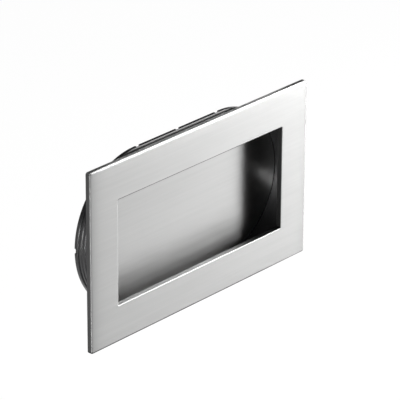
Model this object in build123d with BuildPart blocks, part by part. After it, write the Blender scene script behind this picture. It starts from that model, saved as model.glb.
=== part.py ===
from build123d import *

import os

# Recessed pull handle, in millimetres.
# X runs along the handle, +Z is up and +Y points into the door.
# The origin is the centre of the cover plate's rear face, which lies on the door.

# cover plate, stainless sheet
plateW = 110.0
plateH = 67.0
plateT = 2.0
edgeR = 0.7
plateCornerR = edgeR + 0.1

# finger opening in the cover plate
openingW = 83.6
openingH = 39.4
openingEdgeR = 0.3
openingCornerR = openingEdgeR + 0.1

# moulded housing behind the plate, round-ended
cupW = 101.2
cupH = 58.2
cupDepth = 10.1
wallT = 0.5
backT = 1.15

# grip ribs round the outside of the housing, a little lower than the rear rim
ribH = 0.3
ribW = 1.0
ribPitch = 1.61
ribBreak = 0.25
rimH = 0.45
rimW = 1.58
rimBreak = 0.25
rimRearBreak = 0.15

# bonding flange under the cover plate
flangeT = 1.0
flangeOver = 1.5

# notches round the back edge of the rear rim
notchW = 1.9
notchDepth = 0.7
notchLength = 1.0
notchesPerSide = 3
notchesPerEnd = 3

# stainless floor sheet in the bottom of the housing
floorT = 1.0
floorGap = 0.1
floorBreak = 0.2

# sizes that follow from those above
coreW = cupW - 2 * rimH
coreH = cupH - 2 * rimH
ribbedW = coreW + 2 * ribH
ribbedH = coreH + 2 * ribH
cavityW = coreW - 2 * wallT
cavityH = coreH - 2 * wallT
flangeW = cupW + 2 * flangeOver
flangeH = cupH + 2 * flangeOver
straight = cupW - cupH
notchPitch = straight * 0.926 / (notchesPerSide - 1)
notchAngle = 180.0 / (notchesPerEnd + 1)
rimY = cupDepth - rimW
notchY = cupDepth - notchLength
grooveW = ribPitch - ribW
ribCount = int((rimY - flangeT - grooveW) / ribPitch)
floorY = cupDepth - backT - floorT


def outlineEdges(part, low, high, height):
    # edges of a rib's outline, height across, that lie between two depths
    edges = part.edges().filter_by_position(Axis.Y, low - 0.01, high + 0.01)
    return edges.filter_by(lambda e: abs(max(v.Z for v in e.vertices())) > height / 2 - 0.01)


os.makedirs("parts", exist_ok=True)

# cover plate
with BuildPart() as facePlate:
    with BuildSketch(Plane.XZ):
        RectangleRounded(plateW, plateH, plateCornerR)
        RectangleRounded(openingW, openingH, openingCornerR, mode=Mode.SUBTRACT)
    extrude(amount=plateT)
    # the finger opening is broken lightly at the front, the outer edge is rolled over
    fillet(facePlate.faces().sort_by(Axis.Y)[0].inner_wires()[0].edges(), radius=openingEdgeR)
    fillet(facePlate.faces().sort_by(Axis.Y)[0].outer_wire().edges(), radius=edgeR)

facePlate.part.label = "face_plate"
export_step(facePlate.part, "parts/face_plate.step")

# moulded housing
with BuildPart() as housing:
    # round-ended body with the flange that is bonded to the plate
    with BuildSketch(Plane.XZ):
        SlotOverall(coreW, coreH)
    extrude(amount=-cupDepth)
    with BuildSketch(Plane.XZ):
        SlotOverall(flangeW, flangeH)
    extrude(amount=-flangeT)

    # grip ribs between the flange and the rear rim
    for i in range(ribCount):
        ribY = rimY - grooveW - ribW - i * ribPitch
        with BuildSketch(Plane.XZ.offset(-ribY)):
            SlotOverall(ribbedW, ribbedH)
        extrude(amount=-ribW)
        chamfer(outlineEdges(housing, ribY, ribY + ribW, ribbedH), length=ribBreak)

    # rear rim, a wider rib flush with the back
    with BuildSketch(Plane.XZ.offset(-rimY)):
        SlotOverall(cupW, cupH)
    extrude(amount=-rimW)
    chamfer(outlineEdges(housing, rimY, rimY, cupH), length=rimBreak)
    chamfer(housing.faces().sort_by(Axis.Y)[-1].edges(), length=rimRearBreak)

    # hollow that takes the floor sheet and the fingers
    with BuildSketch(Plane.XZ):
        SlotOverall(cavityW, cavityH)
    extrude(amount=-(cupDepth - backT), mode=Mode.SUBTRACT)

    # notches along both straight sides of the rim
    with BuildSketch(Plane.XZ.offset(-notchY)):
        for side in (-1, 1):
            with Locations((0, side * cupH / 2)):
                with GridLocations(notchPitch, 1, notchesPerSide, 1):
                    Rectangle(notchW, 2 * notchDepth)
    extrude(amount=-notchLength, mode=Mode.SUBTRACT)

    # notches round both ends of the rim
    with BuildSketch(Plane.XZ.offset(-notchY)):
        for side in (-1, 1):
            with Locations((side * straight / 2, 0)):
                with PolarLocations(cupH / 2, notchesPerEnd, 90 - side * 90 + notchAngle - 90,
                                    notchAngle * (notchesPerEnd - 1), endpoint=True):
                    Rectangle(2 * notchDepth, notchW)
    extrude(amount=-notchLength, mode=Mode.SUBTRACT)

housing.part.label = "housing"
export_step(housing.part, "parts/housing.step")

# floor sheet
with BuildPart() as floorPlate:
    with BuildSketch(Plane.XZ.offset(-floorY)):
        SlotOverall(cavityW - 2 * floorGap, cavityH - 2 * floorGap)
    extrude(amount=-floorT)
    chamfer(floorPlate.faces().sort_by(Axis.Y)[0].edges(), length=floorBreak)

floorPlate.part.label = "floor_plate"
export_step(floorPlate.part, "parts/floor_plate.step")
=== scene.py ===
import math

import bpy
from mathutils import Matrix, Vector


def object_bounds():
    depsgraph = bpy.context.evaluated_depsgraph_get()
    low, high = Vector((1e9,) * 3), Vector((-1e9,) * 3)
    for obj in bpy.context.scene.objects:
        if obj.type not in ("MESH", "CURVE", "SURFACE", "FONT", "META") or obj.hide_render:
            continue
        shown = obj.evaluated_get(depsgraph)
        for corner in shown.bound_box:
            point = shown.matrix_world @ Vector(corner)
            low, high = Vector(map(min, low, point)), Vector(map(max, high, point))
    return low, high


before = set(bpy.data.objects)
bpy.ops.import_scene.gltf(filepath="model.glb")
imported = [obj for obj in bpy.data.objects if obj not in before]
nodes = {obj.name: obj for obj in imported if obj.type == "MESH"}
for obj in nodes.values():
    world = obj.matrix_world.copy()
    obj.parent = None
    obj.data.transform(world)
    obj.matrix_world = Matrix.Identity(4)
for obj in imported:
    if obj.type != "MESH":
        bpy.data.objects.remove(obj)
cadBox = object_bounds()
print("frame loaded")


# small helpers for node trees

def addNode(tree, kind, **values):
    node = tree.nodes.new(kind)
    for key, value in values.items():
        setattr(node, key, value)
    return node


def setInputs(node, **values):
    for key, value in values.items():
        node.inputs[key.replace("_", " ")].default_value = value


def feed(tree, socket, value):
    # another node's output is linked, anything else is set on the socket
    if isinstance(value, bpy.types.NodeSocket):
        tree.links.new(value, socket)
    else:
        socket.default_value = value


def newMaterial(name):
    mat = bpy.data.materials.new(name)
    mat.use_nodes = True
    tree = mat.node_tree
    tree.nodes.clear()
    out = addNode(tree, "ShaderNodeOutputMaterial", location=(900, 0))
    bsdf = addNode(tree, "ShaderNodeBsdfPrincipled", location=(600, 0))
    tree.links.new(bsdf.outputs["BSDF"], out.inputs["Surface"])
    return mat, tree, bsdf


def newGroup(name, inputs, outputs):
    group = bpy.data.node_groups.new(name, "ShaderNodeTree")
    for label, kind, value in inputs:
        socket = group.interface.new_socket(label, in_out="INPUT", socket_type=kind)
        if value is not None:
            socket.default_value = value
    for label, kind in outputs:
        group.interface.new_socket(label, in_out="OUTPUT", socket_type=kind)
    start = addNode(group, "NodeGroupInput", location=(-900, 0))
    end = addNode(group, "NodeGroupOutput", location=(900, 0))
    return group, start, end


def mathNode(tree, operation, a, b=None, clamp=False):
    node = addNode(tree, "ShaderNodeMath", operation=operation, use_clamp=clamp)
    feed(tree, node.inputs[0], a)
    if b is not None:
        feed(tree, node.inputs[1], b)
    return node.outputs[0]


def rampNode(tree, value, low, high, toLow=0.0, toHigh=1.0, smooth=True):
    node = addNode(tree, "ShaderNodeMapRange")
    node.interpolation_type = "SMOOTHSTEP" if smooth else "LINEAR"
    for label, part in (("Value", value), ("From Min", low), ("From Max", high)):
        feed(tree, node.inputs[label], part)
    setInputs(node, To_Min=toLow, To_Max=toHigh)
    return node.outputs["Result"]


def roughRamp(tree, noise, look):
    # roughness that follows the noise a little to both sides of its value
    low, high = (look["rough"] + part for part in look["roughSpread"])
    return rampNode(tree, noise, *look["roughOver"], low, high)


def mixColours(tree, first, second, factor):
    node = addNode(tree, "ShaderNodeMix", data_type="RGBA", blend_type="MIX")
    feed(tree, node.inputs["A"], first)
    feed(tree, node.inputs["B"], second)
    feed(tree, node.inputs["Factor"], factor)
    return node.outputs["Result"]


def splitVector(tree, vector):
    node = addNode(tree, "ShaderNodeSeparateXYZ")
    feed(tree, node.inputs[0], vector)
    return node.outputs


def joinVector(tree, x, y, z):
    node = addNode(tree, "ShaderNodeCombineXYZ")
    for socket, value in zip(node.inputs, (x, y, z)):
        feed(tree, socket, value)
    return node.outputs[0]


def turnVector(tree, vector, kind, before, after):
    node = addNode(tree, "ShaderNodeVectorTransform", vector_type=kind,
                   convert_from=before, convert_to=after)
    feed(tree, node.inputs[0], vector)
    return node.outputs[0]


def objectPlace(tree):
    return addNode(tree, "ShaderNodeTexCoord").outputs["Object"]


# grain of steel that is brushed along X: fine lines and broader streaks
grainLook = {
    "roughness": 0.6,
    "fine": {"share": 1.0, "seed": 3.0, "detail": 3.0},
    "broad": {"share": 0.16, "seed": 8.0, "detail": 2.0},
}


def brushedGrain(look):
    group, start, end = newGroup(
        "brushedGrain",
        [("Lines per metre", "NodeSocketFloat", 5200.0), ("Stretch", "NodeSocketFloat", 60.0)],
        [("Fine", "NodeSocketFloat"), ("Broad", "NodeSocketFloat")],
    )
    place = splitVector(group, objectPlace(group))
    lines = start.outputs["Lines per metre"]
    along = mathNode(group, "DIVIDE", lines, start.outputs["Stretch"])

    def streaks(share, seed, detail):
        scaled = [
            mathNode(group, "MULTIPLY", mathNode(group, "MULTIPLY", place[axis], scale), share)
            for axis, scale in (("X", along), ("Y", lines), ("Z", lines))
        ]
        noise = addNode(group, "ShaderNodeTexNoise", noise_dimensions="4D")
        setInputs(noise, W=seed, Scale=1.0, Detail=detail, Roughness=look["roughness"])
        group.links.new(joinVector(group, *scaled), noise.inputs["Vector"])
        return noise.outputs["Fac"]

    group.links.new(streaks(**look["fine"]), end.inputs["Fine"])
    group.links.new(streaks(**look["broad"]), end.inputs["Broad"])
    return group


grainGroup = brushedGrain(grainLook)


# masks for the faces cut across the sheet; each pair is a part of the unit normal
cutLook = {
    "frontRound": (0.55, 0.72),
    "right": (0.03, 0.15),
    "longEdge": (0.3, 0.8),
    # faces turned down, where shade is painted
    "undersideShade": (-0.12, -0.02),
}


def cutFaces(look):
    group, start, end = newGroup(
        "cutFaces",
        [("Cut below", "NodeSocketFloat", 0.5), ("Sheet above", "NodeSocketFloat", 0.93)],
        [("Cut", "NodeSocketFloat"), ("Long edge", "NodeSocketFloat"),
         ("Underside shade", "NodeSocketFloat")],
    )
    geometry = addNode(group, "ShaderNodeNewGeometry")
    normal = splitVector(
        group, turnVector(group, geometry.outputs["Normal"], "NORMAL", "WORLD", "OBJECT"))
    facing = mathNode(group, "ABSOLUTE", normal["Y"])
    upright = mathNode(group, "ABSOLUTE", normal["Z"])

    # the front part of the rounding that faces +X stays as bright as the sheet
    spared = mathNode(group, "MULTIPLY", rampNode(group, normal["X"], *look["right"]),
                      rampNode(group, facing, *look["frontRound"]))
    turned = rampNode(group, facing, start.outputs["Cut below"], start.outputs["Sheet above"],
                      1.0, 0.0, smooth=False)
    cut = mathNode(group, "MULTIPLY", turned, mathNode(group, "SUBTRACT", 1.0, spared))
    group.links.new(cut, end.inputs["Cut"])
    group.links.new(rampNode(group, upright, *look["longEdge"]), end.inputs["Long edge"])
    # mask of faces turned down, for painted shade
    group.links.new(rampNode(group, normal["Z"], *look["undersideShade"], 1.0, 0.0),
                    end.inputs["Underside shade"])
    return group


cutGroup = cutFaces(cutLook)


# a sheet that rolls off softly towards its outer edges, with masks for where a point lies on it
def softRoll():
    group, start, end = newGroup(
        "softRoll",
        [("Half length", "NodeSocketFloat", 0.055), ("Half height", "NodeSocketFloat", 0.0335),
         ("Tilt", "NodeSocketFloat", 0.05), ("Reach", "NodeSocketFloat", 0.002),
         ("Normal", "NodeSocketVector", None)],
        [("Normal", "NodeSocketVector"), ("Ends", "NodeSocketFloat"),
         ("Sides", "NodeSocketFloat"), ("Along", "NodeSocketFloat")],
    )
    place = splitVector(group, objectPlace(group))

    def fade(axis, half):
        # 1 at the outer edge, falling off over the reach
        out = mathNode(group, "ABSOLUTE", place[axis])
        inset = mathNode(group, "SUBTRACT", start.outputs[half], out)
        share = mathNode(group, "DIVIDE", inset, start.outputs["Reach"])
        return mathNode(group, "EXPONENT", mathNode(group, "MULTIPLY", share, -1.0))

    def lean(axis, faded):
        side = mathNode(group, "SIGN", place[axis])
        return mathNode(group, "MULTIPLY", mathNode(group, "MULTIPLY", faded, side),
                        start.outputs["Tilt"])

    ends = fade("X", "Half length")
    sides = fade("Z", "Half height")
    along = mathNode(group, "DIVIDE", place["X"], start.outputs["Half length"])
    group.links.new(ends, end.inputs["Ends"])
    group.links.new(sides, end.inputs["Sides"])
    group.links.new(along, end.inputs["Along"])

    leaning = joinVector(group, lean("X", ends), 0.0, lean("Z", sides))
    added = addNode(group, "ShaderNodeVectorMath", operation="ADD")
    group.links.new(start.outputs["Normal"], added.inputs[0])
    group.links.new(turnVector(group, leaning, "VECTOR", "OBJECT", "WORLD"), added.inputs[1])
    unit = addNode(group, "ShaderNodeVectorMath", operation="NORMALIZE")
    group.links.new(added.outputs[0], unit.inputs[0])
    group.links.new(unit.outputs[0], end.inputs["Normal"])
    return group


rollGroup = softRoll()


# brushed stainless sheet; what both sheets share
sheetLook = {
    "lines": 5200.0,
    "stretch": 70.0,
    "fineShare": 0.55,
    "broadShare": 0.45,
    "contrast": (0.34, 0.66),
    "cutBelow": 0.5,  # how squarely a face looks forwards, between a cut and the plain sheet
    "sheetAbove": 0.93,
    # near-black painted shade on faces turned down
    "undersideShade": (0.01, 0.01, 0.01, 1.0),
    "undersideShadeFar": (0.5, 0.9, 1.0, 0.4),  # how the painted shade on faces turned down fades: from, to along the sheet, and how dark at each
    "lipShadeSpan": (0.15, 0.6),  # from, to along the sheet where painted shade darkens the lip of the opening
    "rough": 0.323,
    "roughSpread": (-0.02, 0.025),
    "roughOver": (0.3, 0.7),  # values of the noise it spreads over
    "cutRough": 0.15,
    "endRough": 0.3,
    "bump": 0.03,
    "bumpDepth": 0.00002,
    "anisotropy": 0.86,
}


def brushedSteel(name, look):
    mat, tree, bsdf = newMaterial(name)
    grain = addNode(tree, "ShaderNodeGroup", node_tree=grainGroup)
    setInputs(grain, Lines_per_metre=look["lines"], Stretch=look["stretch"])
    cutMasks = addNode(tree, "ShaderNodeGroup", node_tree=cutGroup)
    setInputs(cutMasks, Cut_below=look["cutBelow"], Sheet_above=look["sheetAbove"])
    cut = cutMasks.outputs
    roll = addNode(tree, "ShaderNodeGroup", node_tree=rollGroup)
    setInputs(roll, Half_length=cadBox[1].x, Half_height=cadBox[1].z,
              Tilt=look["tilt"], Reach=look["reach"])
    ends, along = roll.outputs["Ends"], roll.outputs["Along"]

    # tone of the face, with painted shade towards the short ends; then of the cut edges, with
    # painted shade on the short ends and on the lip of the opening; then painted shade on the
    # undersides
    mixed = mathNode(tree, "ADD",
                     mathNode(tree, "MULTIPLY", grain.outputs["Fine"], look["fineShare"]),
                     mathNode(tree, "MULTIPLY", grain.outputs["Broad"], look["broadShare"]))
    face = mixColours(tree, look["dark"], look["light"], rampNode(tree, mixed, *look["contrast"]))
    face = mixColours(tree, face, look["rolled"], ends)
    shortCut = mixColours(tree, look["innerEndShade"], look["cutEndShade"], ends)
    lip = mixColours(tree, look["innerLong"], look["innerFarShade"],
                     rampNode(tree, along, *look["lipShadeSpan"]))
    longCut = mixColours(tree, lip, look["cutLong"], roll.outputs["Sides"])
    edge = mixColours(tree, shortCut, longCut, cut["Long edge"])
    tone = mixColours(tree, face, edge, cut["Cut"])
    shade = mathNode(tree, "MULTIPLY", cut["Underside shade"],
                     rampNode(tree, along, *look["undersideShadeFar"]))
    tree.links.new(mixColours(tree, tone, look["undersideShade"], shade), bsdf.inputs["Base Color"])

    # cut faces are rougher, the short ones most
    rough = roughRamp(tree, grain.outputs["Fine"], look)
    short = mathNode(tree, "SUBTRACT", 1.0, cut["Long edge"])
    sawn = mathNode(tree, "ADD", mathNode(tree, "MULTIPLY", short, look["endRough"]),
                    look["cutRough"])
    rough = mathNode(tree, "ADD", rough, mathNode(tree, "MULTIPLY", cut["Cut"], sawn), clamp=True)
    tree.links.new(rough, bsdf.inputs["Roughness"])

    # the reflection spreads across the brushing, along Z
    across = turnVector(tree, (0.0, 0.0, 1.0), "VECTOR", "OBJECT", "WORLD")
    tree.links.new(across, bsdf.inputs["Tangent"])

    bump = addNode(tree, "ShaderNodeBump")
    setInputs(bump, Strength=look["bump"], Distance=look["bumpDepth"])
    tree.links.new(mixed, bump.inputs["Height"])
    tree.links.new(bump.outputs["Normal"], roll.inputs["Normal"])
    tree.links.new(roll.outputs["Normal"], bsdf.inputs["Normal"])
    setInputs(bsdf, Metallic=1.0, Anisotropic=look["anisotropy"])
    return mat


coverLook = {
    **sheetLook,
    "dark": (0.385, 0.385, 0.383, 1.0),
    "light": (0.41, 0.41, 0.407, 1.0),
    "rolled": (0.295, 0.295, 0.293, 1.0),  # painted shade towards the short ends, where the sheet rolls off
    # painted shade on the cut faces at the short ends, darker still on those inside the opening
    "cutEndShade": (0.18, 0.18, 0.18, 1.0),
    "innerEndShade": (0.07, 0.07, 0.07, 1.0),
    "cutLong": (0.42, 0.42, 0.418, 1.0),
    "innerLong": (0.34, 0.34, 0.338, 1.0),
    # near-black painted shade on the lip of the opening towards +X
    "innerFarShade": (0.03, 0.03, 0.03, 1.0),
    "tilt": 0.05,
    "reach": 0.0024,
}
nodes["face_plate"].material_slots[0].material = brushedSteel("coverSteel", coverLook)

floorLook = {
    **sheetLook,
    "dark": (0.393, 0.393, 0.391, 1.0),
    "light": (0.418, 0.418, 0.415, 1.0),
    # painted shade towards the short ends and on the cut faces, as on the cover, here close to the
    # sheet's tone
    "rolled": (0.31, 0.31, 0.308, 1.0),
    "cutEndShade": (0.3, 0.3, 0.3, 1.0),
    "innerEndShade": (0.3, 0.3, 0.3, 1.0),
    "cutLong": (0.34, 0.34, 0.338, 1.0),
    "innerLong": (0.34, 0.34, 0.338, 1.0),
    "innerFarShade": (0.34, 0.34, 0.338, 1.0),
    "tilt": 0.0,
    "reach": 0.001,
}
nodes["floor_plate"].material_slots[0].material = brushedSteel("floorSteel", floorLook)
print("steel done")


# moulded housing, dark plastic with a fine grain
housingLook = {
    "colour": (0.006, 0.006, 0.0065, 1.0),
    "worn": (0.012, 0.012, 0.0125, 1.0),
    "cloudSize": 55.0,
    "cloudDetail": 2.0,
    "wornFrom": (0.4, 0.75),
    "rough": 0.19,
    "roughSpread": (-0.02, 0.04),
    "roughOver": (0.3, 0.7),
    "grainSize": 2600.0,
    "grainDetail": 3.0,
    "grainRoughness": 0.55,
    "grain": 0.02,
    "grainDepth": 0.00004,
    "soften": 0.00015,
    "softenSamples": 6,
    "ior": 1.45,
}


def mouldedPlastic(name, look):
    mat, tree, bsdf = newMaterial(name)
    place = objectPlace(tree)
    fine = addNode(tree, "ShaderNodeTexNoise")
    setInputs(fine, Scale=look["grainSize"], Detail=look["grainDetail"],
              Roughness=look["grainRoughness"])
    tree.links.new(place, fine.inputs["Vector"])
    cloud = addNode(tree, "ShaderNodeTexNoise")
    setInputs(cloud, Scale=look["cloudSize"], Detail=look["cloudDetail"])
    tree.links.new(place, cloud.inputs["Vector"])
    worn = rampNode(tree, cloud.outputs["Fac"], *look["wornFrom"])
    tree.links.new(mixColours(tree, look["colour"], look["worn"], worn), bsdf.inputs["Base Color"])

    tree.links.new(roughRamp(tree, fine.outputs["Fac"], look), bsdf.inputs["Roughness"])

    # edges are softened a little under the grain
    rounded = addNode(tree, "ShaderNodeBevel", samples=look["softenSamples"])
    setInputs(rounded, Radius=look["soften"])
    bump = addNode(tree, "ShaderNodeBump")
    setInputs(bump, Strength=look["grain"], Distance=look["grainDepth"])
    tree.links.new(fine.outputs["Fac"], bump.inputs["Height"])
    tree.links.new(rounded.outputs["Normal"], bump.inputs["Normal"])
    tree.links.new(bump.outputs["Normal"], bsdf.inputs["Normal"])
    setInputs(bsdf, Metallic=0.0, IOR=look["ior"])
    return mat


nodes["housing"].material_slots[0].material = mouldedPlastic("housingPlastic", housingLook)
print("housing done")


# pale floor, white to the camera and to reflections
stageLook = {
    "drop": 0.16,  # below the object
    "half": 3.0,
    "white": 0.94,
    "tone": (0.9, 0.9, 0.9, 1.0),
    "rough": 0.9,
    "specular": 0.1,
}


def seenDirectly(tree, path):
    # 1 for what the camera, glossy and clear surfaces see
    clear = mathNode(tree, "MAXIMUM", path["Is Glossy Ray"], path["Is Transmission Ray"])
    return mathNode(tree, "MAXIMUM", path["Is Camera Ray"], clear)


def paleFloor(look):
    z = cadBox[0].z - look["drop"]
    h = look["half"]
    mesh = bpy.data.meshes.new("floor")
    mesh.from_pydata([(-h, -h, z), (h, -h, z), (h, h, z), (-h, h, z)], [], [(0, 1, 2, 3)])
    floor = bpy.data.objects.new("floor", mesh)
    bpy.context.scene.collection.objects.link(floor)
    mat, tree, bsdf = newMaterial("paleFloor")
    setInputs(bsdf, Base_Color=look["tone"], Roughness=look["rough"],
              Specular_IOR_Level=look["specular"])
    white = addNode(tree, "ShaderNodeEmission")
    setInputs(white, Color=(1.0, 1.0, 1.0, 1.0), Strength=1.0)
    seen = seenDirectly(tree, addNode(tree, "ShaderNodeLightPath").outputs)
    mix = addNode(tree, "ShaderNodeMixShader")
    tree.links.new(mathNode(tree, "MULTIPLY", seen, look["white"]), mix.inputs[0])
    tree.links.new(bsdf.outputs[0], mix.inputs[1])
    tree.links.new(white.outputs[0], mix.inputs[2])
    out = next(n for n in tree.nodes if n.type == "OUTPUT_MATERIAL")
    tree.links.new(mix.outputs[0], out.inputs["Surface"])
    mesh.materials.append(mat)


paleFloor(stageLook)


# reflections see a white backdrop up to a little over the horizon and a dim ceiling above it
worldLook = {
    "soft": 0.5,
    "dimming": (0.04, 0.25),  # height on the unit sphere
    "ceiling": 0.1,
}


def worldLight(look):
    world = bpy.data.worlds.new("studio")
    bpy.context.scene.world = world
    world.use_nodes = True
    tree = world.node_tree
    tree.nodes.clear()
    out = addNode(tree, "ShaderNodeOutputWorld")
    soft = addNode(tree, "ShaderNodeBackground")
    setInputs(soft, Color=(1.0, 1.0, 1.0, 1.0), Strength=look["soft"])
    white = addNode(tree, "ShaderNodeBackground")
    setInputs(white, Color=(1.0, 1.0, 1.0, 1.0))
    path = addNode(tree, "ShaderNodeLightPath").outputs
    height = splitVector(tree, addNode(tree, "ShaderNodeTexCoord").outputs["Generated"])["Z"]
    loss = rampNode(tree, height, *look["dimming"], 0.0, 1.0 - look["ceiling"])
    loss = mathNode(tree, "MULTIPLY", loss, path["Is Glossy Ray"])
    tree.links.new(mathNode(tree, "SUBTRACT", 1.0, loss), white.inputs["Strength"])
    mix = addNode(tree, "ShaderNodeMixShader")
    tree.links.new(seenDirectly(tree, path), mix.inputs[0])
    tree.links.new(soft.outputs[0], mix.inputs[1])
    tree.links.new(white.outputs[0], mix.inputs[2])
    tree.links.new(mix.outputs[0], out.inputs["Surface"])


worldLight(worldLook)


# each lamp: compass angle and height in degrees, distance, side, power
lampLook = {
    "keyBox": (-34, 2.5, 0.8, 0.14, 2.25),
    "keyUpper": (-41, 15, 0.8, 0.12, 1.34),
    "keySide": (-45, 1, 0.8, 0.12, 0.3),
    "topRight": (-30, 42, 0.6, 0.2, 1.2),
    "topMiddle": (-14, 45, 0.6, 0.2, 1.5),
    "endRight": (-8, 0, 0.7, 0.1, 4.0),
    "frontLeft": (-155, -8, 0.6, 0.1, 1.5),
    "frontLow": (-155, -17, 0.48, 0.08, 1.4),
    "frontWall": (-140, -5, 0.6, 0.1, 0.4),
}


def softBox(name, turn, rise, distance, side, power):
    turn, rise = math.radians(turn), math.radians(rise)
    place = Vector((distance * math.cos(rise) * math.cos(turn),
                    distance * math.cos(rise) * math.sin(turn),
                    distance * math.sin(rise)))
    data = bpy.data.lights.new(name, "AREA")
    data.shape = "RECTANGLE"
    data.size = data.size_y = side
    data.energy = power
    lamp = bpy.data.objects.new(name, data)
    lamp.location = place
    lamp.rotation_mode = "QUATERNION"
    lamp.rotation_quaternion = (-place).to_track_quat("-Z", "Y")
    bpy.context.scene.collection.objects.link(lamp)


for name, values in lampLook.items():
    softBox(name, *values)


# view from the left, a little above; right, up and ahead are the camera's own directions
cameraLook = {
    "sensor": 36.0,
    "lens": 270.3,
    "place": (-0.695504, -0.632382, 0.441055),
    "right": (0.673696, -0.738994, 0.004525),
    "up": (0.308243, 0.286561, 0.907121),
    "ahead": (0.671653, 0.60973, -0.420846),
}


def mainCamera(look):
    data = bpy.data.cameras.new("camera")
    data.sensor_width = look["sensor"]
    data.lens = look["lens"]
    camera = bpy.data.objects.new("camera", data)
    axes = Matrix((Vector(look["right"]), Vector(look["up"]), -Vector(look["ahead"])))
    placed = axes.transposed().to_4x4()
    placed.translation = Vector(look["place"])
    camera.matrix_world = placed
    bpy.context.scene.collection.objects.link(camera)
    bpy.context.scene.camera = camera


mainCamera(cameraLook)
bpy.context.scene.view_settings.view_transform = "Standard"
print("floor, world, lamps and camera done")

print("scene ready")
